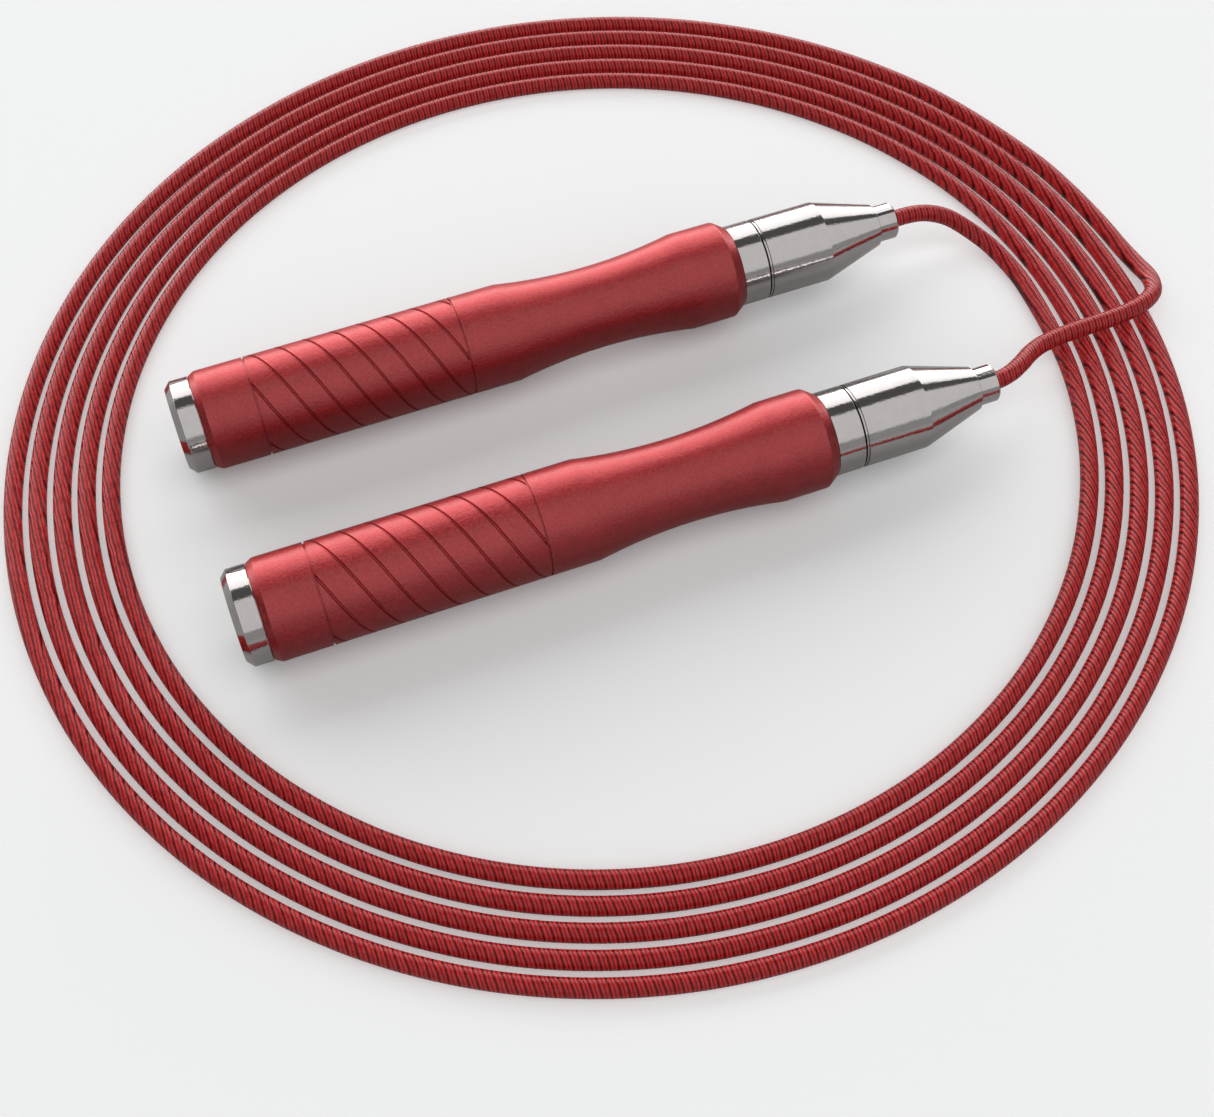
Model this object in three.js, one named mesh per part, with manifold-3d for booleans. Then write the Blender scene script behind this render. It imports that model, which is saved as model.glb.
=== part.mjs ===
// Speed jump rope: two ball-bearing handles joined by one thin coated cable, lying coiled.
// Millimetres, +Z up. The origin is on the floor, midway between the two handles.
// Each handle lies along +X with its rope end at +X. Handle a is at +Y, handle b at -Y.
// Stations along a handle are measured from the rear face of its end cap.

import * as THREE from "three";
import { mergeVertices } from "three/addons/utils/BufferGeometryUtils.js";
import Module from "manifold-3d";

const wasm = await Module();
wasm.setup();

// ---------- Driving dimensions ----------

const HANDLE_LENGTH = 134;
const HANDLE_SPACING = 40.6; // between the axes of the two handles
const AXIS_HEIGHT = 8.7; // the handles rest on their barrels
const GRIP_R = 8.7; // barrel and palm swell
const WAIST_R = 7.27; // slimmest part of the grip
const CAP_R = 8.15; // chrome end cap
const HEAD_R = 7.25; // chrome collar and nose cone
const NOZZLE_R = 3.25;
const ROPE_D = 3.1;
const ROPE_BORE_R = 1.75; // every hole that the rope runs through
const GAP = 0.3; // between faces that meet

const CAP_FRONT = 4.2;
const GRIP_REAR = CAP_FRONT + GAP;
const GRIP_FRONT = 102.1;
const COLLAR_FRONT = 107;
const CONE_REAR = COLLAR_FRONT + GAP;
const CONE_SHOULDER = 119.1;
const CONE_FRONT = 130.2;

const BEARING_BORE_R = 2.5;
const BEARING_R = 5;
const BEARING_WIDTH = 4;
const OUTER_LAND_R = 4.4; // bore of the outer race beside its groove
const INNER_LAND_R = 3.1; // outside of the inner race beside its groove
const RACE_GROOVE = 0.25; // depth of both grooves
const REAR_BEARING = 94.5; // middle of each bearing
const FRONT_BEARING = 104;

const COIL_TURNS = 4.967; // whole turns and the part of a turn that the spiral makes
const COIL_START_R = 83.48; // rope centre at the start of the spiral
const COIL_PITCH = 4.171; // growth in radius each turn
const COIL_CENTRE_X = 3.05;

const OUTER_SIDES = 32; // sides of the visible turned parts
const INNER_SIDES = 16; // sides of the parts inside
const ROPE_SIDES = 8;

// ---------- Finishes ----------

const finish = (color, metalness, roughness) => ({ color, metalness, roughness });
const RED_ANODISED = finish(0xa8262c, 0.7, 0.45);
const CHROME = finish(0xdcdcde, 1, 0.1);
const BEARING_STEEL = finish(0xb4b6ba, 1, 0.25);
const SPRING_STEEL = finish(0x8c8f94, 1, 0.35);
const BRASS = finish(0xb99a55, 1, 0.35);
const BLACK_PLUG = finish(0x0c0c0d, 0, 0.6);
const RED_ROPE = finish(0xa01f26, 0.1, 0.4);

// ---------- Shape helpers ----------

const object = new THREE.Group();

function place(name, geometry, look, parent) {
  const mesh = new THREE.Mesh(geometry, new THREE.MeshStandardMaterial(look));
  mesh.name = name;
  parent.add(mesh);
  return mesh;
}

// A turned solid along +X. The profile lists [station, radius] pairs: the outside towards +X,
// then back along the bore or the axis. Its flats touch the stated radii, with one flat facing down.
function turned(profile, sides = OUTER_SIDES, closed = true) {
  const grow = 1 / Math.cos(Math.PI / sides);
  const points = profile.map(([station, radius]) => new THREE.Vector2(radius * grow, station));
  if (closed) points.push(points[0].clone());
  const geometry = new THREE.LatheGeometry(points, sides, Math.PI / sides);
  return geometry.rotateZ(-Math.PI / 2);
}

// A turned ring with a plain rectangular section.
function ring(from, to, innerR, outerR, sides = INNER_SIDES) {
  return turned([[from, outerR], [to, outerR], [to, innerR], [from, innerR]], sides);
}

// A solid turned bar.
function rod(from, to, radius, sides) {
  return turned([[from, 0], [from, radius], [to, radius], [to, 0]], sides, false);
}

// A round tube along a curve.
function tube(curve, radius, sides, steps) {
  const section = new THREE.Shape();
  for (let i = 0; i < sides; i++) {
    const angle = (2 * Math.PI * i) / sides;
    const [x, y] = [radius * Math.cos(angle), radius * Math.sin(angle)];
    if (i === 0) section.moveTo(x, y);
    else section.lineTo(x, y);
  }
  section.closePath();
  return new THREE.ExtrudeGeometry(section, { steps, extrudePath: curve, curveSegments: 1 });
}

function toSolid(geometry) {
  const bare = geometry.clone();
  bare.deleteAttribute("normal");
  bare.deleteAttribute("uv");
  const merged = mergeVertices(bare, 1e-4);
  return new wasm.Manifold(new wasm.Mesh({
    numProp: 3,
    vertProperties: merged.attributes.position.array,
    triVerts: new Uint32Array(merged.index.array),
  }));
}

function toGeometry(solid) {
  const mesh = solid.getMesh();
  const geometry = new THREE.BufferGeometry();
  geometry.setAttribute("position", new THREE.BufferAttribute(mesh.vertProperties, 3));
  geometry.setIndex(new THREE.BufferAttribute(mesh.triVerts, 1));
  return geometry;
}

// ---------- The grip and its rear end ----------

const WAIST_FROM = 59.4;
const WAIST_TO = 92.3;
const RING_GROOVES = [14, 50.8];
const RING_GROOVE_HALF_WIDTH = 0.25;
const RING_GROOVE_DEPTH = 0.35;
const SPIGOT_R = 6.5; // the parts that plug into the grip
const SPIGOT_FIT = 0.15;
const GRIP_REAR_R = 8; // small end of the chamfer beside the cap
const GRIP_CHAMFER = 1.15;
const FRONT_CHAMFER = 1.9;
const GRIP_BORE_R = 5.2;
const CAP_SPIGOT_END = 12;
const COLLAR_REAR = 90.2;

// The waist between barrel and palm swell is one long shallow arc.
function waistArc(count) {
  const half = (WAIST_TO - WAIST_FROM) / 2;
  const middle = (WAIST_TO + WAIST_FROM) / 2;
  const depth = GRIP_R - WAIST_R;
  const arcR = (half * half + depth * depth) / (2 * depth);
  const points = [];
  for (let i = 0; i <= count; i++) {
    const along = half * (-1 + (2 * i) / count);
    points.push([middle + along, WAIST_R + arcR - Math.sqrt(arcR * arcR - along * along)]);
  }
  return points;
}

function grip() {
  const grooves = RING_GROOVES.flatMap((middle) => {
    const [from, to] = [middle - RING_GROOVE_HALF_WIDTH, middle + RING_GROOVE_HALF_WIDTH];
    const floor = GRIP_R - RING_GROOVE_DEPTH;
    return [[from, GRIP_R], [from, floor], [to, floor], [to, GRIP_R]];
  });
  const socket = SPIGOT_R + SPIGOT_FIT;
  return turned([
    [GRIP_REAR, GRIP_REAR_R],
    [GRIP_REAR + GRIP_CHAMFER, GRIP_R],
    ...grooves,
    ...waistArc(6),
    [GRIP_FRONT - FRONT_CHAMFER, GRIP_R],
    [GRIP_FRONT, HEAD_R + 0.1],
    [GRIP_FRONT, socket],
    [COLLAR_REAR - GAP, socket],
    [COLLAR_REAR - GAP, GRIP_BORE_R],
    [CAP_SPIGOT_END + GAP, GRIP_BORE_R],
    [CAP_SPIGOT_END + GAP, socket],
    [GRIP_REAR, socket],
  ]);
}

const CAP_REAR_R = 7; // small end of the chamfer round the rear face
const CAP_CHAMFER = 1.1;
const CAP_MOUTH_R = 5.9;
const CAP_BORE_R = 4.6;
const CAP_STEP = 3.2; // depth of the wide mouth
const PLUG_SINK = 1.2; // how far the plug sits below the cap's rim
const PLUG_FIT = 0.2;

function endCap() {
  return turned([
    [0, CAP_REAR_R],
    [CAP_CHAMFER, CAP_R],
    [CAP_FRONT, CAP_R],
    [CAP_FRONT, SPIGOT_R],
    [CAP_SPIGOT_END, SPIGOT_R],
    [CAP_SPIGOT_END, CAP_BORE_R],
    [CAP_STEP, CAP_BORE_R],
    [CAP_STEP, CAP_MOUTH_R],
    [0, CAP_MOUTH_R],
  ]);
}

function endPlug() {
  const dishR = 3.4;
  const dishDepth = 0.5;
  const stemEnd = 8;
  return turned([
    [PLUG_SINK + dishDepth, 0],
    [PLUG_SINK + dishDepth, dishR - dishDepth],
    [PLUG_SINK, dishR],
    [PLUG_SINK, CAP_MOUTH_R - PLUG_FIT],
    [CAP_STEP - GAP, CAP_MOUTH_R - PLUG_FIT],
    [CAP_STEP - GAP, CAP_BORE_R - PLUG_FIT],
    [stemEnd, CAP_BORE_R - PLUG_FIT],
    [stemEnd, 0],
  ], OUTER_SIDES, false);
}

// ---------- The collar and the bearings inside it ----------

const HOUSING_R = BEARING_R + 0.2;
const LIP_R = 3.6; // opening in the collar's front wall
const LIP_WALL = 0.8;
const CIRCLIP_FROM = 91.3;
const CIRCLIP_WIDTH = 0.8;
const CIRCLIP_GROOVE_R = 5.65;

function collar() {
  return turned([
    [GRIP_FRONT + GAP, HEAD_R],
    [COLLAR_FRONT, HEAD_R],
    [COLLAR_FRONT, LIP_R],
    [COLLAR_FRONT - LIP_WALL, LIP_R],
    [COLLAR_FRONT - LIP_WALL, HOUSING_R],
    [CIRCLIP_FROM + CIRCLIP_WIDTH, HOUSING_R],
    [CIRCLIP_FROM + CIRCLIP_WIDTH, CIRCLIP_GROOVE_R],
    [CIRCLIP_FROM, CIRCLIP_GROOVE_R],
    [CIRCLIP_FROM, HOUSING_R],
    [COLLAR_REAR, HOUSING_R],
    [COLLAR_REAR, SPIGOT_R],
    [GRIP_FRONT + GAP, SPIGOT_R],
  ]);
}

// An open ring that snaps into the groove in the collar's bore.
function circlip() {
  const [innerR, outerR] = [4.55, 5.45];
  const openHalfAngle = 0.3;
  const thickness = 0.5;
  const outline = new THREE.Shape();
  outline.absarc(0, 0, outerR, openHalfAngle, 2 * Math.PI - openHalfAngle, false);
  outline.absarc(0, 0, innerR, 2 * Math.PI - openHalfAngle, openHalfAngle, true);
  outline.closePath();
  const plate = new THREE.ExtrudeGeometry(outline, {
    depth: thickness,
    bevelEnabled: false,
    curveSegments: INNER_SIDES,
  });
  plate.rotateY(Math.PI / 2);
  return plate.translate(CIRCLIP_FROM + (CIRCLIP_WIDTH - thickness) / 2, 0, 0);
}

function outerRace(middle) {
  const half = BEARING_WIDTH / 2;
  return turned([
    [middle - half, BEARING_R],
    [middle + half, BEARING_R],
    [middle + half, OUTER_LAND_R],
    [middle, OUTER_LAND_R + RACE_GROOVE],
    [middle - half, OUTER_LAND_R],
  ], INNER_SIDES);
}

function innerRace(middle) {
  const half = BEARING_WIDTH / 2;
  return turned([
    [middle - half, INNER_LAND_R],
    [middle, INNER_LAND_R - RACE_GROOVE],
    [middle + half, INNER_LAND_R],
    [middle + half, BEARING_BORE_R],
    [middle - half, BEARING_BORE_R],
  ], INNER_SIDES);
}

// The cage ring carries seven balls, joined to it as one piece.
function ballCage(middle) {
  const ballCount = 7;
  const ballR = 0.72;
  const pitchR = (OUTER_LAND_R + INNER_LAND_R) / 2;
  const halfWidth = 0.5;
  const halfWall = 0.25;
  const from = middle - halfWidth;
  let solid = toSolid(ring(from, middle + halfWidth, pitchR - halfWall, pitchR + halfWall));
  for (let i = 0; i < ballCount; i++) {
    const angle = (2 * Math.PI * i) / ballCount;
    const ball = new THREE.SphereGeometry(ballR, 8, 5);
    ball.translate(middle, pitchR * Math.sin(angle), pitchR * Math.cos(angle));
    solid = solid.add(toSolid(ball));
  }
  return toGeometry(solid);
}

// ---------- The spindle and what is clamped on it ----------

const SPINDLE_REAR = 88.2;
const SPINDLE_FRONT = 112.2;
const SPINDLE_THREAD_R = 2.9; // front end, screwed into the nose cone

function spindle() {
  const shaftR = BEARING_BORE_R - 0.15;
  const shoulderR = LIP_R - GAP;
  const shoulderFrom = FRONT_BEARING + BEARING_WIDTH / 2 + 0.2;
  const shoulderTo = COLLAR_FRONT;
  return turned([
    [SPINDLE_REAR, shaftR],
    [shoulderFrom, shaftR],
    [shoulderFrom, shoulderR],
    [shoulderTo, shoulderR],
    [shoulderTo, SPINDLE_THREAD_R],
    [SPINDLE_FRONT, SPINDLE_THREAD_R],
    [SPINDLE_FRONT, ROPE_BORE_R],
    [SPINDLE_REAR, ROPE_BORE_R],
  ], INNER_SIDES);
}

function spindleNut() {
  const flatsR = 3.4;
  const holeR = 2.6;
  const thickness = 2.6;
  const to = REAR_BEARING - BEARING_WIDTH / 2 - GAP;
  const from = to - thickness;
  const hexagon = toSolid(rod(from, to, flatsR, 6));
  const hole = toSolid(rod(from - 1, to + 1, holeR, INNER_SIDES));
  return toGeometry(hexagon.subtract(hole));
}

// ---------- The nose cone and the rope lock ----------

const CONE_FRONT_R = 3.85;
const CONE_CHAMFER = 0.2;
const NOZZLE_BORE_R = NOZZLE_R + 0.2; // in the cone
const TAPER_FROM = 124; // narrow end of the wedge for the balls
const CHAMBER_R = 4.9;
const CHAMBER_LAND = 1.3; // straight part of the chamber, before the wedge
const SOCKET_R = SPINDLE_THREAD_R + 0.2;
const NOZZLE_REAR = 118.5;
const NOZZLE_CHAMFER = 0.3;
const CARRIER_R = 2.95; // thin rear part of the nozzle
const LOCK_BALLS = 122.3; // station of the three balls
const LOCK_BALL_R = 1;
const LOCK_PITCH_R = ROPE_D / 2 + LOCK_BALL_R + 0.07;
const LOCK_COUNT = 3;

function noseCone() {
  return turned([
    [CONE_REAR, HEAD_R - CONE_CHAMFER],
    [CONE_REAR + CONE_CHAMFER, HEAD_R],
    [CONE_SHOULDER, HEAD_R],
    [CONE_FRONT, CONE_FRONT_R],
    [CONE_FRONT, NOZZLE_BORE_R],
    [TAPER_FROM, NOZZLE_BORE_R],
    [SPINDLE_FRONT + CHAMBER_LAND, CHAMBER_R],
    [SPINDLE_FRONT, CHAMBER_R],
    [SPINDLE_FRONT, SOCKET_R],
    [CONE_REAR, SOCKET_R],
  ]);
}

const lockAngle = (index) => (2 * Math.PI * index) / LOCK_COUNT;

// The nozzle's rear end is the carrier of the three balls, with a round window for each.
function releaseNozzle() {
  const windowR = LOCK_BALL_R + 0.15;
  const windowSides = 12;
  let solid = toSolid(turned([
    [NOZZLE_REAR, CARRIER_R],
    [TAPER_FROM + GAP, CARRIER_R],
    [TAPER_FROM + GAP, NOZZLE_R],
    [HANDLE_LENGTH - NOZZLE_CHAMFER, NOZZLE_R],
    [HANDLE_LENGTH, NOZZLE_R - NOZZLE_CHAMFER],
    [HANDLE_LENGTH, ROPE_BORE_R],
    [NOZZLE_REAR, ROPE_BORE_R],
  ]));
  for (let i = 0; i < LOCK_COUNT; i++) {
    const window = new THREE.CylinderGeometry(windowR, windowR, 2 * CARRIER_R, windowSides);
    window.translate(0, CARRIER_R, 0).rotateX(lockAngle(i)).translate(LOCK_BALLS, 0, 0);
    solid = solid.subtract(toSolid(window));
  }
  return toGeometry(solid);
}

function lockBall(index) {
  const ball = new THREE.SphereGeometry(LOCK_BALL_R, 8, 6);
  return ball.translate(0, LOCK_PITCH_R, 0).rotateX(lockAngle(index)).translate(LOCK_BALLS, 0, 0);
}

class Helix extends THREE.Curve {
  constructor(radius, from, to, turns) {
    super();
    Object.assign(this, { radius, from, to, turns });
  }

  getPoint(t) {
    const angle = 2 * Math.PI * this.turns * t;
    return new THREE.Vector3(
      this.from + (this.to - this.from) * t,
      this.radius * Math.cos(angle),
      this.radius * Math.sin(angle),
    );
  }
}

function releaseSpring() {
  const wireR = 0.28;
  const wireSides = 6;
  const coilR = 2.5;
  const turns = 4;
  const stepsPerTurn = 10;
  const clear = wireR + 0.2;
  const path = new Helix(coilR, SPINDLE_FRONT + clear, NOZZLE_REAR - clear, turns);
  return tube(path, wireR, wireSides, turns * stepsPerTurn);
}

// ---------- The rope ----------

const ROPE_R = ROPE_D / 2;
const ROPE_STEP = 4; // length of one facet of the leads
const COIL_SIDES = 64;
const TAIL_REAR = 83; // the rope's end, inside the grip
const TAIL_R = 1.38; // squeezed a little by the bore

// The stretch of rope from handle a down to the inside of the coil.
const LEAD_A = [
  [67, 20.3, 8.7],
  [70, 20.4, 8.6],
  [73, 20.3, 8.2],
  [76, 19.9, 7.2],
  [78.6, 19.1, 5.9],
  [80.5, 17.9, 4.7],
];

// The stretch that lies over the coil's turns, to handle b. What comes before it is the last bend of
// the coil, which climbs over the turn beside it and is inside the coil's solid.
const LEAD_B = [
  [103, -11, 4.8],
  [98.9, -12.2, 5.1],
  [94, -12.6, 5.1],
  [88.5, -12.7, 5.1],
  [84, -13.2, 5.4],
  [80.3, -14.1, 6],
  [77, -15.7, 6.8],
  [74, -17.8, 7.8],
  [71.2, -19.4, 8.45],
  [69, -20.1, 8.67],
  [67, -20.3, 8.7],
];

function ropeLead(points) {
  const vectors = points.map(([x, y, z]) => new THREE.Vector3(x, y, z));
  const curve = new THREE.CatmullRomCurve3(vectors, false, "centripetal");
  return tube(curve, ROPE_R, ROPE_SIDES, Math.round(curve.getLength() / ROPE_STEP));
}

// The outer shape of the whole spiral, as one ring with blunt rounded edges.
function coilSolid() {
  const innerR = COIL_START_R;
  const outerR = COIL_START_R + COIL_PITCH * COIL_TURNS;
  const points = [
    [innerR, 0],
    [outerR, 0],
    [outerR + ROPE_R, ROPE_R],
    [outerR, ROPE_D],
    [innerR, ROPE_D],
    [innerR - ROPE_R, ROPE_R],
    [innerR, 0],
  ];
  const profile = points.map(([radius, height]) => new THREE.Vector2(radius, height));
  return new THREE.LatheGeometry(profile, COIL_SIDES).rotateX(Math.PI / 2);
}

const ropeTail = () => rod(TAIL_REAR, HANDLE_LENGTH - GAP, TAIL_R, ROPE_SIDES);

// A sleeve clamped on the rope, so that its end cannot pull out through the spindle.
function cableStop() {
  const length = 4;
  const sleeveR = 2.4;
  const from = TAIL_REAR + 0.5;
  return ring(from, from + length, ROPE_BORE_R, sleeveR);
}

// ---------- Assembly ----------

const BETWEEN_FROM = REAR_BEARING + BEARING_WIDTH / 2 + GAP;
const BETWEEN_TO = FRONT_BEARING - BEARING_WIDTH / 2 - GAP;

function handle(side, y) {
  const group = new THREE.Group();
  group.position.set(-HANDLE_LENGTH / 2, y, AXIS_HEIGHT);
  const add = (name, geometry, look) => place(`${name}_${side}`, geometry, look, group);

  add("grip", grip(), RED_ANODISED);
  add("end_cap", endCap(), CHROME);
  add("end_plug", endPlug(), BLACK_PLUG);
  add("collar", collar(), CHROME);
  add("circlip", circlip(), SPRING_STEEL);

  for (const [end, middle] of [["rear", REAR_BEARING], ["front", FRONT_BEARING]]) {
    add(`${end}_bearing_outer`, outerRace(middle), BEARING_STEEL);
    add(`${end}_bearing_cage`, ballCage(middle), BEARING_STEEL);
    add(`${end}_bearing_inner`, innerRace(middle), BEARING_STEEL);
  }
  add("outer_spacer", ring(BETWEEN_FROM, BETWEEN_TO, OUTER_LAND_R, BEARING_R), BRASS);
  add("inner_spacer", ring(BETWEEN_FROM, BETWEEN_TO, BEARING_BORE_R, INNER_LAND_R), BRASS);

  add("spindle", spindle(), BEARING_STEEL);
  add("spindle_nut", spindleNut(), BEARING_STEEL);
  add("nose_cone", noseCone(), CHROME);
  add("release_nozzle", releaseNozzle(), CHROME);
  for (let i = 0; i < LOCK_COUNT; i++) {
    add(`lock_ball_${i + 1}`, lockBall(i), BEARING_STEEL);
  }
  add("release_spring", releaseSpring(), SPRING_STEEL);
  add("rope_tail", ropeTail(), RED_ROPE);
  add("cable_stop", cableStop(), BRASS);
  return group;
}

object.add(handle("a", HANDLE_SPACING / 2));
object.add(handle("b", -HANDLE_SPACING / 2));

const coil = place("rope_coil", coilSolid(), RED_ROPE, object);
coil.position.x = COIL_CENTRE_X;
place("rope_lead_a", ropeLead(LEAD_A), RED_ROPE, object);
place("rope_lead_b", ropeLead(LEAD_B), RED_ROPE, object);

export default object;
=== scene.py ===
"""Speed jump rope: two ball-bearing handles inside a flat coil of thin coated cable.

Metres, +Z up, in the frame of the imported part. Each handle lies along +X with its rope end at +X.
Stations along a handle are in millimetres from the rear face of its end cap.
"""

import math

import bpy
import numpy as np
from mathutils import Matrix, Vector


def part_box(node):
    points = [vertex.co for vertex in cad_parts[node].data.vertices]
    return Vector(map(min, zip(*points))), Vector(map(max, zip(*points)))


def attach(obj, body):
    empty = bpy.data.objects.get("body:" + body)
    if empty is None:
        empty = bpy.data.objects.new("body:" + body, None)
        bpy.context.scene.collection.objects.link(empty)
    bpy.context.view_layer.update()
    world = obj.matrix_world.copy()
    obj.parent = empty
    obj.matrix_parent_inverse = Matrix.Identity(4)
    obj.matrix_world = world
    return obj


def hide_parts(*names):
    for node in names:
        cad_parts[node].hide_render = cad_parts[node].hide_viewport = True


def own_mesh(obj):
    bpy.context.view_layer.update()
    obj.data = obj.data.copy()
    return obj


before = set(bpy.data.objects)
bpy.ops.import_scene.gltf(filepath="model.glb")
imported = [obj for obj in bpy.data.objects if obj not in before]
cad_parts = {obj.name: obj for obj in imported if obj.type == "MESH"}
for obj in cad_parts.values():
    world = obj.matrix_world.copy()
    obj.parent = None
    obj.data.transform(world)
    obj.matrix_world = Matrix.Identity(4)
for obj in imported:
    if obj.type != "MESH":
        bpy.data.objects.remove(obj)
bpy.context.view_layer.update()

MM = 0.001
SIDES = ("a", "b")


# ---------- Camera ----------

CAMERA_PLACE = (-0.0570, -0.1787, 0.2511)
CAMERA_LENS = 52.8
CAMERA_HEADING = -18.5  # degrees from +Y
CAMERA_DOWN = 57.2  # degrees below level
CAMERA_ROLL = -2.0


def make_camera():
    """Looks down on the rope from the -Y side, standing a little to the left, as in the photo."""
    data = bpy.data.cameras.new("camera")
    data.sensor_width = 36
    data.lens = CAMERA_LENS
    data.clip_start, data.clip_end = 0.01, 50
    camera = bpy.data.objects.new("camera", data)
    bpy.context.scene.collection.objects.link(camera)
    bpy.context.scene.camera = camera
    turn = Matrix.Rotation(math.radians(CAMERA_HEADING), 4, "Z")
    tilt = Matrix.Rotation(math.radians(90 - CAMERA_DOWN), 4, "X")
    roll = Matrix.Rotation(math.radians(CAMERA_ROLL), 4, "Z")
    camera.matrix_world = Matrix.Translation(CAMERA_PLACE) @ turn @ tilt @ roll


make_camera()


# ---------- The rope's route ----------

ROPE_D = 0.0031
ROPE_R = ROPE_D / 2

LEAD_A = [  # from handle a down to the floor, inside the coil
    (0.0670, 0.0203, 0.0087),
    (0.0700, 0.0204, 0.0086),
    (0.0730, 0.0203, 0.0082),
    (0.0760, 0.0199, 0.0072),
    (0.0786, 0.0191, 0.0059),
    (0.0805, 0.0179, 0.0047),
    (0.0826, 0.0159, 0.0034),
    (0.0846, 0.0128, 0.0023),
    (0.0859, 0.0083, 0.0017),
]

LEAD_B = [  # from the outermost turn, up and back over the turns, to handle b
    (0.10535, 0.0199, 0.00155),
    (0.10625, 0.0146, 0.00155),
    (0.10695, 0.0093, 0.00155),
    (0.1074, 0.0039, 0.0016),
    (0.1078, -0.0008, 0.0020),
    (0.10775, -0.0049, 0.0029),
    (0.1061, -0.0087, 0.0040),
    (0.1030, -0.0110, 0.0048),
    (0.0989, -0.0122, 0.0051),
    (0.0940, -0.0126, 0.0051),
    (0.0885, -0.0127, 0.0051),
    (0.0840, -0.0132, 0.0054),
    (0.0803, -0.0141, 0.0060),
    (0.0770, -0.0157, 0.0068),
    (0.0740, -0.0178, 0.0078),
    (0.0712, -0.0194, 0.00845),
    (0.0690, -0.0201, 0.00867),
    (0.0670, -0.0203, 0.0087),
]

COIL_TURNS = 4.967
COIL_START_R = 0.08348
COIL_PITCH = 0.004171
COIL_CENTRE_X = 0.00305
COIL_START_ANGLE = 2  # degrees from +X
POINTS_PER_TURN = 24


def coil_points():
    """A flat spiral that runs clockwise, seen from above, and outwards."""
    points = []
    for i in range(round(COIL_TURNS * POINTS_PER_TURN) + 1):
        turns = min(i / POINTS_PER_TURN, COIL_TURNS)
        angle = math.radians(COIL_START_ANGLE) - 2 * math.pi * turns
        radius = COIL_START_R + COIL_PITCH * turns
        points.append((COIL_CENTRE_X + radius * math.cos(angle), radius * math.sin(angle), ROPE_R))
    return points


def smooth_curve(points, per_span=24):
    """A centripetal Catmull-Rom curve through the points."""
    p = np.array(points, float)
    p = np.vstack([2 * p[0] - p[1], p, 2 * p[-1] - p[-2]])
    out = []
    for i in range(1, len(p) - 2):
        a, b, c, d = p[i - 1:i + 3]
        t1 = np.linalg.norm(b - a) ** 0.5
        t2 = t1 + np.linalg.norm(c - b) ** 0.5
        t3 = t2 + np.linalg.norm(d - c) ** 0.5
        for t in np.linspace(t1, t2, per_span, endpoint=False):
            ab = (t1 - t) / t1 * a + t / t1 * b
            bc = (t2 - t) / (t2 - t1) * b + (t - t1) / (t2 - t1) * c
            cd = (t3 - t) / (t3 - t2) * c + (t - t2) / (t3 - t2) * d
            abc = (t2 - t) / t2 * ab + t / t2 * bc
            bcd = (t3 - t) / (t3 - t1) * bc + (t - t1) / (t3 - t1) * cd
            out.append((t2 - t) / (t2 - t1) * abc + (t - t1) / (t2 - t1) * bcd)
    out.append(p[-2])
    return np.array(out)


def even_steps(curve, step):
    """The same curve with points an even distance apart, and its length."""
    along = np.r_[0, np.cumsum(np.linalg.norm(np.diff(curve, axis=0), axis=1))]
    wanted = np.linspace(0, along[-1], round(along[-1] / step) + 1)
    return np.stack([np.interp(wanted, along, curve[:, k]) for k in range(3)], axis=1), along[-1]


# ---------- Meshes ----------

def make_object(name, vertices, faces, sharp_above=None):
    """A smooth mesh object. Edges that turn by more than sharp_above degrees stay sharp."""
    mesh = bpy.data.meshes.new(name)
    mesh.from_pydata([tuple(v) for v in vertices], [], faces)
    mesh.update()
    mesh.shade_smooth()
    if sharp_above is not None:
        mesh.set_sharp_from_angle(angle=math.radians(sharp_above))
    piece = bpy.data.objects.new(name, mesh)
    bpy.context.scene.collection.objects.link(piece)
    return piece


def grid_faces(rows, columns, closed=False, slip=0):
    """Quads between rows of points, each row a closed loop. Where the rows close on themselves too,
    the last row meets the first one turned by slip columns."""
    faces = []
    for i in range(rows if closed else rows - 1):
        last = i == rows - 1
        a, b = i * columns, 0 if last else (i + 1) * columns
        turn = slip if last else 0
        for j in range(columns):
            k = j + 1
            faces.append((
                a + j,
                a + k % columns,
                b + (k + turn) % columns,
                b + (j + turn) % columns,
            ))
    return faces


def tube(centres, sides, ups, radius, columns):
    """A round tube with closed ends along centres. sides and ups are two directions across it at each
    point."""
    angles = np.arange(columns) * 2 * math.pi / columns
    across = np.cos(angles)[None, :, None] * sides[:, None, :]
    upward = np.sin(angles)[None, :, None] * ups[:, None, :]
    vertices = (centres[:, None, :] + radius * (across + upward)).reshape(-1, 3)
    faces = grid_faces(len(centres), columns)
    faces.append(tuple(range(columns - 1, -1, -1)))
    faces.append(tuple(range(len(vertices) - columns, len(vertices))))
    return vertices, faces


def finished(piece, body, slot, material, *nodes):
    """Gives a piece its material and its body, and hides the CAD nodes that it stands for. slot is not
    used.
    """
    piece.data.materials.append(material)
    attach(piece, body)
    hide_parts(*nodes)
    return piece


# ---------- Materials ----------

WAVE_PERIOD = 0.31416  # metres from band to band of a Wave Texture at scale 1
ROPE_RIB = 0.00125  # the length of a pair of ribs, with a shallow groove between the two
ROPE_RIB_DEPTH = 0.00016
ROPE_RIBS = (  # how far along a pair, and its height there
    (0.00, 0.0),
    (0.05, 0.05),
    (0.17, 0.85),
    (0.28, 1.0),
    (0.40, 0.8),
    (0.49, 0.2),
    (0.58, 0.8),
    (0.73, 1.0),
    (0.84, 0.85),
    (0.95, 0.05),
    (1.00, 0.0),
)


def new_material(name, **constants):
    material = bpy.data.materials.new(name)
    material.use_nodes = True
    shader = material.node_tree.nodes["Principled BSDF"]
    for socket, value in constants.items():
        shader.inputs[socket.replace("_", " ")].default_value = value
    return material, shader


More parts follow.
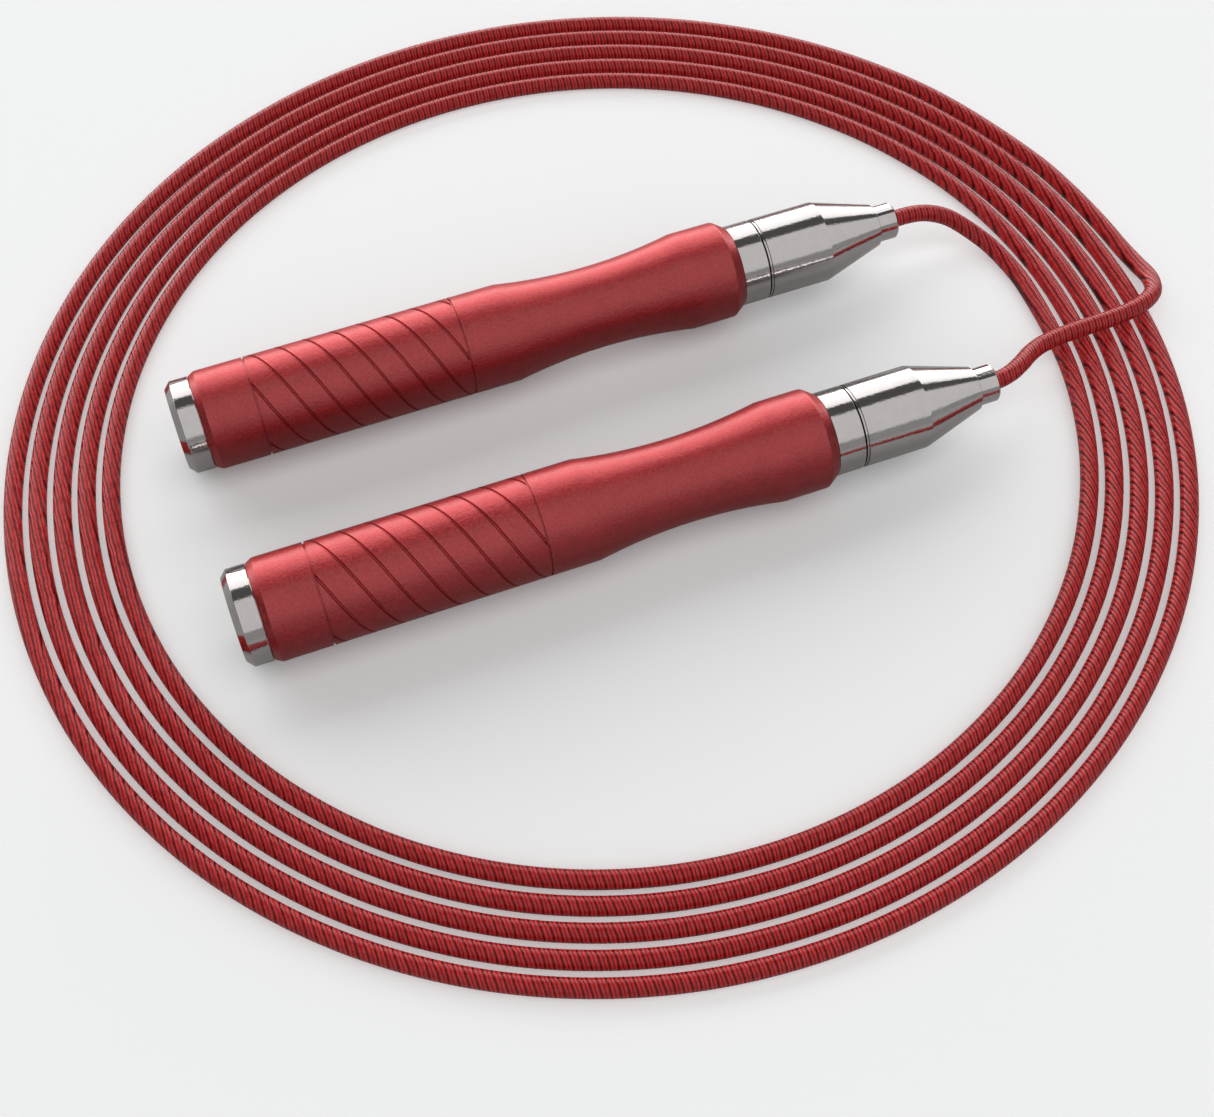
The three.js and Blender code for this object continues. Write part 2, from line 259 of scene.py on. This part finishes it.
def add_node(owner, kind, inputs=None, **settings):
    """A shader node in a material or the world. An input is a number, a colour or another node's socket."""
    node = owner.node_tree.nodes.new(kind)
    for name, value in settings.items():
        setattr(node, name, value)
    for socket, value in (inputs or {}).items():
        if isinstance(value, bpy.types.NodeSocket):
            owner.node_tree.links.new(value, node.inputs[socket])
        else:
            node.inputs[socket].default_value = value
    return node


def noise(material, scale, detail=2, roughness=0.5, stretch=(1, 1, 1)):
    """Noise in the object's own space, so that it has a real size: scale is cells per metre."""
    place = add_node(material, "ShaderNodeTexCoord").outputs["Object"]
    if stretch != (1, 1, 1):
        mapping = add_node(material, "ShaderNodeMapping", {"Vector": place, "Scale": stretch})
        place = mapping.outputs["Vector"]
    inputs = {"Vector": place, "Scale": scale, "Detail": detail, "Roughness": roughness}
    return add_node(material, "ShaderNodeTexNoise", inputs).outputs["Fac"]


def between(owner, value, low, high, from_low=0.3, from_high=0.7):
    """Maps a value to a range. Noise lies mostly between 0.3 and 0.7."""
    inputs = {"Value": value, "From Min": from_low, "From Max": from_high, "To Min": low, "To Max": high}
    return add_node(owner, "ShaderNodeMapRange", inputs).outputs["Result"]


def ramp(owner, value, low, high, stops):
    """Shades of grey along value, from (place between low and high, grey) stops."""
    inputs = {"Value": value, "From Min": low, "From Max": high}
    share = add_node(owner, "ShaderNodeMapRange", inputs).outputs["Result"]
    node = add_node(owner, "ShaderNodeValToRGB", {"Fac": share})
    elements = node.color_ramp.elements
    while len(elements) < len(stops):
        elements.new(1.0)
    for element, (place, grey) in zip(elements, stops):
        element.position = (place - low) / (high - low)
        element.color = (grey, grey, grey, 1)
    return node.outputs["Color"]


def mixed(owner, factor, color_a, color_b, blend_type="MIX"):
    inputs = {0: factor, 6: color_a, 7: color_b}
    return add_node(owner, "ShaderNodeMix", inputs, data_type="RGBA", blend_type=blend_type).outputs[2]


def bump(material, shader, height, distance, strength=1.0):
    inputs = {"Height": height, "Distance": distance, "Strength": strength}
    node = add_node(material, "ShaderNodeBump", inputs)
    material.node_tree.links.new(node.outputs["Normal"], shader.inputs["Normal"])


def drive(material, shader, socket, value):
    material.node_tree.links.new(value, shader.inputs[socket])


def red_anodised():
    """Bead-blasted and anodised aluminium: a fine grain and small patches of deeper colour."""
    material, shader = new_material(
        "red_anodised",
        Metallic=1.0,
        Specular_Tint=(0.8, 0.16, 0.16, 1),
        Coat_Weight=1.0,
        Coat_Roughness=0.33,
        Coat_IOR=1.5,
    )
    grain = noise(material, 2400, 3, 0.6)
    cloud = noise(material, 350, 2)
    cloudy = between(material, cloud, 0, 1)
    patches = mixed(material, cloudy, (0.36, 0.019, 0.023, 1), (0.41, 0.026, 0.030, 1))
    specks = between(material, grain, 0.0, 0.4)
    color = mixed(material, specks, patches, (0.66, 0.09, 0.095, 1))
    drive(material, shader, "Base Color", color)
    drive(material, shader, "Roughness", between(material, grain, 0.38, 0.46))
    bump(material, shader, grain, 0.00014)
    return material


def chrome():
    """Polished chrome, very slightly uneven."""
    material, shader = new_material("chrome", Metallic=1.0)
    grain = noise(material, 3000, 1)
    haze = noise(material, 600, 3)
    hazy = between(material, haze, 0, 1)
    color = mixed(material, hazy, (0.57, 0.54, 0.53, 1), (0.60, 0.57, 0.56, 1))
    drive(material, shader, "Base Color", color)
    drive(material, shader, "Roughness", between(material, haze, 0.05, 0.09))
    bump(material, shader, grain, 0.000013)
    return material


def black_plug():
    """Matt moulded rubber."""
    material, shader = new_material("black_plug")
    grain = noise(material, 3000, 2)
    grainy = between(material, grain, 0, 1)
    color = mixed(material, grainy, (0.006, 0.006, 0.0065, 1), (0.014, 0.014, 0.015, 1))
    drive(material, shader, "Base Color", color)
    drive(material, shader, "Roughness", between(material, grain, 0.5, 0.7))
    bump(material, shader, grain, 0.00003)
    return material


def red_rope():
    """Satin coated cable. In the photo its ribs all run one way in space, square to the handles: they
    cross the rope where it runs along X and go along it where it runs along Y."""
    material, shader = new_material(
        "red_rope",
        Specular_IOR_Level=0.6,
        Specular_Tint=(1, 0.35, 0.35, 1),
        Coat_Weight=0.12,
        Coat_Roughness=0.15,
    )
    inputs = {
        "Vector": add_node(material, "ShaderNodeTexCoord").outputs["Object"],
        "Scale": WAVE_PERIOD / ROPE_RIB,
        "Distortion": 1.1,
        "Detail": 2,
        "Detail Scale": 1.5,
    }
    wave = add_node(material, "ShaderNodeTexWave", inputs, bands_direction="X", wave_profile="SAW")
    crest = ramp(material, wave.outputs["Fac"], 0, 1, ROPE_RIBS)
    cloud = noise(material, 900, 2)
    cloudy = between(material, cloud, 0, 1)
    crown = mixed(material, cloudy, (0.47, 0.018, 0.021, 1), (0.66, 0.040, 0.043, 1))
    # Where the rib height is low, the base colour goes near black: painted shade in the grooves between the
    # ribs.
    drive(material, shader, "Base Color", mixed(material, crest, (0.06, 0.003, 0.003, 1), crown))
    drive(material, shader, "Roughness", between(material, cloud, 0.24, 0.34))
    bump(material, shader, crest, ROPE_RIB_DEPTH)
    return material


def plain_metal(name, color, roughness):
    """A metal of the parts inside, with fine turning marks and a little variation."""
    material, shader = new_material(name, Metallic=1.0)
    marks = noise(material, 100, 2, stretch=(40, 1, 1))
    cloud = noise(material, 800, 2)
    cloudy = between(material, cloud, 0, 1)
    darker = tuple(0.8 * c for c in color)
    drive(material, shader, "Base Color", mixed(material, cloudy, (*darker, 1), (*color, 1)))
    drive(material, shader, "Roughness", between(material, marks, roughness - 0.06, roughness + 0.06))
    bump(material, shader, marks, 0.000004)
    return material


MATERIALS = {
    "red_anodised": red_anodised(),
    "chrome": chrome(),
    "black_plug": black_plug(),
    "red_rope": red_rope(),
    "bearing_steel": plain_metal("bearing_steel", (0.55, 0.56, 0.58), 0.22),
    "spring_steel": plain_metal("spring_steel", (0.36, 0.37, 0.38), 0.32),
    "brass": plain_metal("brass", (0.62, 0.44, 0.18), 0.3),
}


# ---------- The rope ----------

ROPE_SIDES = 20
RING_STEP = 0.00075
TUCK = 0.003  # the length of rope inside each nozzle


def carry_frames(centres):
    """A sideways and an upward vector at each point of the curve, turning as little as possible."""
    tangent = np.gradient(centres, axis=0)
    tangent /= np.linalg.norm(tangent, axis=1)[:, None]
    side = np.cross(tangent[0], (0, 0, 1))
    sides = []
    for t in tangent:
        side = side - t * side.dot(t)
        side = side / np.linalg.norm(side)
        sides.append(side)
    sides = np.array(sides)
    return sides, np.cross(tangent, sides)


def make_rope():
    """One tube from nozzle to nozzle. It throws only part of its shadow, which leaves the floor between
    the turns pale, as in the photo."""
    route = LEAD_A + coil_points() + LEAD_B
    first = (route[0][0] - TUCK, *route[0][1:])
    last = (route[-1][0] - TUCK, *route[-1][1:])
    centres, length = even_steps(smooth_curve([first, *route, last]), RING_STEP)
    vertices, faces = tube(centres, *carry_frames(centres), ROPE_R, ROPE_SIDES)
    rope = make_object("rope", vertices, faces)
    rope.visible_shadow = False
    nodes = ("rope_coil", "rope_lead_a", "rope_lead_b")
    finished(rope, "rope_and_heads", "red_rope", MATERIALS["red_rope"], *nodes)


make_rope()


# ---------- Turned parts ----------

COLUMNS = 128
SUPPORT = 0.06  # mm between a rounded edge and the loop that holds the face beside it flat


def unit(vector):
    return vector / np.linalg.norm(vector)


def rounded(corners, closed=True, steps=4):
    """The outline through corners (station, radius, rounding in mm), with each rounding as an arc."""
    out = []
    count = len(corners)
    for i, (station, radius, rounding) in enumerate(corners):
        here = np.array((station, radius), float)
        ends = not closed and i in (0, count - 1)
        if rounding == 0 or ends:
            out.append(here)
            continue
        before = np.array(corners[i - 1][:2], float)
        after = np.array(corners[(i + 1) % count][:2], float)
        back, ahead = unit(before - here), unit(after - here)
        room = 0.45 * min(np.linalg.norm(before - here), np.linalg.norm(after - here))
        half = math.acos(np.clip(back @ ahead, -1, 1)) / 2
        reach = min(rounding / math.tan(half), room)
        start, end = here + back * reach, here + ahead * reach
        if np.linalg.norm(before - here) > reach + 3 * SUPPORT:
            out.append(start + back * SUPPORT)
        for t in np.linspace(0, 1, steps + 1):
            out.append((1 - t) ** 2 * start + 2 * t * (1 - t) * here + t * t * end)
        if np.linalg.norm(after - here) > reach + 3 * SUPPORT:
            out.append(end + ahead * SUPPORT)
    return np.array(out)


def handle_origin(side):
    """Where station 0 of a handle's axis is."""
    low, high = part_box(f"grip_{side}")
    return np.array((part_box(f"end_cap_{side}")[0][0], (low[1] + high[1]) / 2, (low[2] + high[2]) / 2))


def spun_points(outline, angles, origin):
    """Every outline point at every angle. angles has one row for each outline point, or one for all."""
    angles = np.broadcast_to(angles, (len(outline), angles.shape[-1]))
    station, radius = outline[:, :1] * MM, outline[:, 1:] * MM
    points = np.stack([
        np.broadcast_to(station, angles.shape),
        radius * np.cos(angles),
        radius * np.sin(angles),
    ], axis=-1)
    return (points + origin).reshape(-1, 3)


def turned(name, outline, side, sharp_above=40):
    """A turned piece whose outline is a closed loop."""
    angles = np.arange(COLUMNS) * 2 * math.pi / COLUMNS
    vertices = spun_points(outline, angles, handle_origin(side))
    faces = grid_faces(len(outline), COLUMNS, closed=True)
    return make_object(f"{name}_{side}", vertices, faces, sharp_above)


def turned_solid(name, outline, side, sharp_above=40):
    """A turned piece with no bore. Its outline starts and ends on the axis."""
    origin = handle_origin(side)
    angles = np.arange(COLUMNS) * 2 * math.pi / COLUMNS
    rings = outline[1:-1]
    vertices = list(spun_points(rings, angles, origin))
    faces = grid_faces(len(rings), COLUMNS)
    first, last = len(vertices), len(vertices) + 1
    vertices += [origin + (outline[0][0] * MM, 0, 0), origin + (outline[-1][0] * MM, 0, 0)]
    final = (len(rings) - 1) * COLUMNS
    for j in range(COLUMNS):
        k = (j + 1) % COLUMNS
        faces.append((first, k, j))
        faces.append((last, final + j, final + k))
    return make_object(f"{name}_{side}", vertices, faces, sharp_above)


# ---------- The grip ----------

GRIP_R = 8.7
SOCKET_R = 6.65  # the bore at both ends, where the end cap and the collar go in
BORE_R = 5.2
WAIST_R = 7.27
WAIST_FROM, WAIST_TO = 59.4, 92.3
GRIP_REAR, GRIP_FRONT = 4.28, 102.1
HEAD_R = 7.25
CAP_R = 8.15
RING_GROOVES = (14, 50.8)
RING_GROOVE_HALF = 0.15
RING_GROOVE_DEPTH = 0.35
HELIX_STARTS = 5
HELIX_LEAD = 24.15
HELIX_PHASE = 31  # degrees, at the rear ring groove
HELIX_GROOVE_HALF = 0.25  # half the groove's width, square to its run
HELIX_GROOVE_DEPTH = 0.36
GROOVE_SHAPE = (  # across a helical groove, in half widths, and its depth there
    (-1.7, 0), (-1.05, 0), (-0.7, 0.7), (-0.3, 1), (0.3, 1), (0.7, 0.7), (1.05, 0), (1.7, 0),
)
LAND_COLUMNS = 14


def waist(count=28):
    """The waist between the barrel and the palm swell is one long shallow arc."""
    half, middle = (WAIST_TO - WAIST_FROM) / 2, (WAIST_TO + WAIST_FROM) / 2
    depth = GRIP_R - WAIST_R
    arc_r = (half ** 2 + depth ** 2) / (2 * depth)
    along = np.linspace(-half, half, count)
    return [(middle + s, WAIST_R + arc_r - math.sqrt(arc_r ** 2 - s ** 2), 0) for s in along]


def ring_groove(middle):
    """A narrow square groove round the grip."""
    near, far = middle - RING_GROOVE_HALF, middle + RING_GROOVE_HALF
    floor = GRIP_R - RING_GROOVE_DEPTH
    return [(near, GRIP_R, 0.05), (near, floor, 0), (far, floor, 0), (far, GRIP_R, 0.05)]


def grip_outline():
    """The barrel has a ring of points every 0.3 mm, which the helical grooves need."""
    rear, front = RING_GROOVES
    stations = np.arange(rear + 0.5, front - 0.4, 0.3)
    barrel = [(s, GRIP_R, 0) for s in stations]
    return rounded([
        (GRIP_REAR, SOCKET_R, 0),
        (GRIP_REAR, 8.0, 0.12),
        (GRIP_REAR + 1.2, GRIP_R, 0.15),
        *ring_groove(rear),
        *barrel,
        *ring_groove(front),
        (54, GRIP_R, 0),
        (57, GRIP_R, 0),
        *waist(),
        (94.5, GRIP_R, 0),
        (97, GRIP_R, 0),
        (GRIP_FRONT - 1.9, GRIP_R, 0.9),
        (GRIP_FRONT, HEAD_R + 0.1, 0.15),
        (GRIP_FRONT, SOCKET_R, 0),
        (89.9, SOCKET_R, 0),
        (89.9, BORE_R, 0),
        (12.3, BORE_R, 0),
        (12.3, SOCKET_R, 0),
    ])


def helix_columns():
    """Angles round one row, in degrees, and the groove's depth at each, from 0 to 1."""
    pitch = 360 / HELIX_STARTS
    slope = HELIX_LEAD / math.hypot(HELIX_LEAD, 2 * math.pi * GRIP_R)
    half = math.degrees(HELIX_GROOVE_HALF / slope / GRIP_R)
    angles, depths = [], []
    for i in range(HELIX_STARTS):
        for across, depth in GROOVE_SHAPE:
            angles.append(i * pitch + across * half)
            depths.append(depth)
        edge = GROOVE_SHAPE[-1][0] * half
        for s in np.linspace(edge, pitch - edge, LAND_COLUMNS + 2)[1:-1]:
            angles.append(i * pitch + s)
            depths.append(0)
    return np.array(angles), np.array(depths)


def make_grip(side):
    """The columns of points follow the helical grooves between the two ring grooves. In front of those
    they turn on, to a whole number of grooves, and the last row meets the first one there."""
    outline = grip_outline()
    angles, depths = helix_columns()
    rear, front = RING_GROOVES
    grooved = 360 * (front - rear) / HELIX_LEAD
    pitch = 360 / HELIX_STARTS
    whole = pitch * round(grooved / pitch)
    outer = int(np.argmax(outline[:, 0]))
    station = outline[:, 0]
    twist = np.interp(station, (rear, front, GRIP_FRONT), (0, grooved, whole))
    twist[outer:] = whole
    inside = (station > rear) & (station < front) & (outline[:, 1] > GRIP_R - 0.01)
    depth = np.where(inside, HELIX_GROOVE_DEPTH, 0)[:, None] * depths[None, :]
    origin = handle_origin(side)
    turn = np.radians(angles[None, :] + twist[:, None] + HELIX_PHASE)
    radius = (outline[:, 1:] - depth) * MM
    across = np.broadcast_to(outline[:, :1] * MM, turn.shape)
    points = np.stack([across, radius * np.cos(turn), radius * np.sin(turn)], axis=-1) + origin
    slip = round(whole / pitch) * len(angles) // HELIX_STARTS
    faces = grid_faces(len(outline), len(angles), closed=True, slip=slip)
    return make_object(f"handle_grip_{side}", points.reshape(-1, 3), faces, 50)


# ---------- Chrome parts and the plug ----------

def make_end_cap(side):
    return turned("handle_end_cap", rounded([
        (0, 7.0, 0.12),
        (1.1, CAP_R, 0.15),
        (4.2, CAP_R, 0.06),
        (4.2, 6.5, 0),
        (12, 6.5, 0.2),
        (12, 4.6, 0.2),
        (3.2, 4.6, 0.1),
        (3.2, 5.9, 0.1),
        (0, 5.9, 0.18),
    ]), side)


def make_end_plug(side):
    return turned_solid("handle_end_plug", rounded([
        (1.7, 0, 0),
        (1.7, 2.9, 0.3),
        (1.2, 3.4, 0.2),
        (1.2, 5.75, 0.25),
        (2.9, 5.75, 0.1),
        (2.9, 4.4, 0.1),
        (8, 4.4, 0.4),
        (8, 0, 0),
    ], closed=False), side)


def make_collar(side):
    return turned("handle_collar", rounded([
        (GRIP_FRONT + 0.1, HEAD_R, 0.05),
        (106.9, HEAD_R, 0.08),
        (106.9, 3.6, 0.1),
        (106.2, 3.6, 0),
        (106.2, 5.2, 0),
        (92.1, 5.2, 0),
        (92.1, 5.65, 0),
        (91.3, 5.65, 0),
        (91.3, 5.2, 0),
        (90.2, 5.2, 0.15),
        (90.2, 6.5, 0.2),
        (GRIP_FRONT + 0.1, 6.5, 0),
    ]), side)


def make_nose_cone(side):
    """Its rear end has a narrow polished ring, which shows in the gap beside the collar."""
    return turned("handle_nose_cone", rounded([
        (107.2, HEAD_R - 0.12, 0.05),
        (107.5, HEAD_R - 0.12, 0.03),
        (107.5, HEAD_R - 0.45, 0),
        (107.62, HEAD_R - 0.45, 0),
        (107.62, HEAD_R, 0.06),
        (119.1, HEAD_R, 0.35),
        (130.2, 3.85, 0.12),
        (130.2, 3.4, 0.08),
        (124, 3.4, 0),
        (113.5, 4.9, 0),
        (112.2, 4.9, 0),
        (112.2, 3.1, 0),
        (107.2, 3.1, 0.1),
    ]), side)


PARTS = (  # maker, body, slot, CAD node
    (make_grip, "handle", "red_anodised", "grip"),
    (make_end_cap, "handle", "chrome", "end_cap"),
    (make_end_plug, "handle", "black_plug", "end_plug"),
    (make_collar, "handle", "chrome", "collar"),
    (make_nose_cone, None, "chrome", "nose_cone"),
)

for side in SIDES:
    for make, body, slot, node in PARTS:
        where = f"{body}_{side}" if body else "rope_and_heads"
        finished(make(side), where, slot, MATERIALS[slot], f"{node}_{side}")


# ---------- Release springs ----------

SPRING_REAR = 112.2  # against the spindle
SPRING_FRONT = 118.5  # against the nozzle
SPRING_R = 2.5
WIRE_R = 0.28
WIRE_SIDES = 12
STEPS_PER_TURN = 36
SPRING_TURNS = (0, 0.75, 3.75, 4.5)
SPRING_RISE = (0, 0.45, 5.25, 5.7)  # mm along at those turns, which close the spring at both ends


def make_release_spring(side):
    """A closed-ended compression spring, built at one length. The real one gets shorter as its nozzle is
    pressed in.
    """
    turns = np.linspace(0, SPRING_TURNS[-1], round(SPRING_TURNS[-1] * STEPS_PER_TURN) + 1)
    rise = np.interp(turns, SPRING_TURNS, SPRING_RISE)
    start = SPRING_REAR + (SPRING_FRONT - SPRING_REAR - rise[-1]) / 2
    angles = 2 * math.pi * turns
    outward = np.stack([np.zeros_like(angles), np.cos(angles), np.sin(angles)], axis=1)
    centres = np.stack([start + rise, SPRING_R * outward[:, 1], SPRING_R * outward[:, 2]], axis=1)
    along = np.gradient(centres, axis=0)
    sideways = np.cross(along / np.linalg.norm(along, axis=1, keepdims=True), outward)
    origin = handle_origin(side)
    vertices, faces = tube(centres, outward, sideways, WIRE_R, WIRE_SIDES)
    spring = make_object(f"handle_release_spring_{side}", vertices * MM + origin, faces)
    steel = MATERIALS["spring_steel"]
    finished(spring, "rope_and_heads", "spring_steel", steel, f"release_spring_{side}")
    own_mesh(spring)


for side in SIDES:
    make_release_spring(side)


# ---------- CAD parts that show as they are ----------

def wear(name, material):
    """Gives a CAD node one of the materials above."""
    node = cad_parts[name]
    node.data.materials.clear()
    node.data.materials.append(MATERIALS[material])


BEARING_PARTS = [
    f"{end}_bearing_{part}"
    for end in ("rear", "front")
    for part in ("outer", "cage", "inner")
]
INNER_LOOKS = {
    "release_nozzle": "chrome",
    "circlip": "spring_steel",
    "outer_spacer": "brass",
    "inner_spacer": "brass",
    "cable_stop": "brass",
    "rope_tail": "red_rope",
    "spindle": "bearing_steel",
    "spindle_nut": "bearing_steel",
    **{part: "bearing_steel" for part in BEARING_PARTS},
    **{f"lock_ball_{i}": "bearing_steel" for i in (1, 2, 3)},
}

for side in SIDES:
    for node, look in INNER_LOOKS.items():
        wear(f"{node}_{side}", look)


# ---------- Light and floor ----------

FLOOR_HALF = 4
FLOOR_SEEN = (0.90, 0.91, 0.91, 1)
FLOOR_REFLECTED = (0.43, 0.43, 0.43, 1)
FLOOR_LIFT = (0.09, 0.09, 0.09, 1)
STUDIO = (  # brightness round the handles' axis: degrees from straight up, towards -Y
    (-180, 0.5),
    (-110, 0.5),
    (-95, 3.9),
    (-75, 3.2),
    (-58, 1.8),
    (-37, 1.5),
    (-33, 0.10),
    (-9, 0.10),
    (-4, 0.80),
    (66, 0.78),
    (71, 0.34),
    (180, 0.34),
)
STUDIO_ENDS = (  # the share of that light along the handles' axis, from -X to +X
    (-1.0, 0.1),
    (-0.82, 0.1),
    (-0.62, 1.0),
    (0.86, 1.0),
    (0.94, 0.1),
    (1.0, 0.1),
)
DIFFUSE_LIGHT = 1.15
BACKDROP = (0.93, 0.93, 0.93, 1)


def make_floor():
    """A plain pale floor. Reflections see it darker than the camera does, and the camera sees it a little
    lit up in the shadows, both as in the photo."""
    h = FLOOR_HALF
    floor = make_object("floor", [(-h, -h, 0), (h, -h, 0), (h, h, 0), (-h, h, 0)], [(0, 1, 2, 3)])
    material, shader = new_material(
        "floor",
        Roughness=0.6,
        Specular_IOR_Level=0.2,
        Emission_Color=FLOOR_LIFT,
    )
    seen = add_node(material, "ShaderNodeLightPath").outputs["Is Camera Ray"]
    drive(material, shader, "Base Color", mixed(material, seen, FLOOR_REFLECTED, FLOOR_SEEN))
    drive(material, shader, "Emission Strength", seen)
    floor.data.materials.append(material)


def make_world():
    """A studio of long soft boxes and dark gaps, all parallel to the handles, in front of a plain
    backdrop."""
    world = bpy.data.worlds.new("studio")
    world.use_nodes = True
    bpy.context.scene.world = world
    direction = add_node(world, "ShaderNodeTexCoord").outputs["Generated"]
    split = add_node(world, "ShaderNodeSeparateXYZ", {"Vector": direction})
    x, y, z = split.outputs
    toward = add_node(world, "ShaderNodeMath", {0: y, 1: -1.0}, operation="MULTIPLY").outputs[0]
    angle = add_node(world, "ShaderNodeMath", {0: toward, 1: z}, operation="ARCTAN2").outputs[0]
    degrees = add_node(world, "ShaderNodeMath", {0: angle}, operation="DEGREES").outputs[0]
    boxes = ramp(world, degrees, -180, 180, STUDIO)
    ends = ramp(world, x, -1, 1, STUDIO_ENDS)
    light = mixed(world, 1.0, boxes, ends, "MULTIPLY")
    paths = add_node(world, "ShaderNodeLightPath").outputs
    background = world.node_tree.nodes["Background"]
    color = mixed(world, paths["Is Camera Ray"], light, BACKDROP)
    strength = between(world, paths["Is Diffuse Ray"], 1, DIFFUSE_LIGHT, from_low=0, from_high=1)
    world.node_tree.links.new(color, background.inputs["Color"])
    world.node_tree.links.new(strength, background.inputs["Strength"])


make_floor()
make_world()
bpy.context.scene.view_settings.view_transform = "Standard"
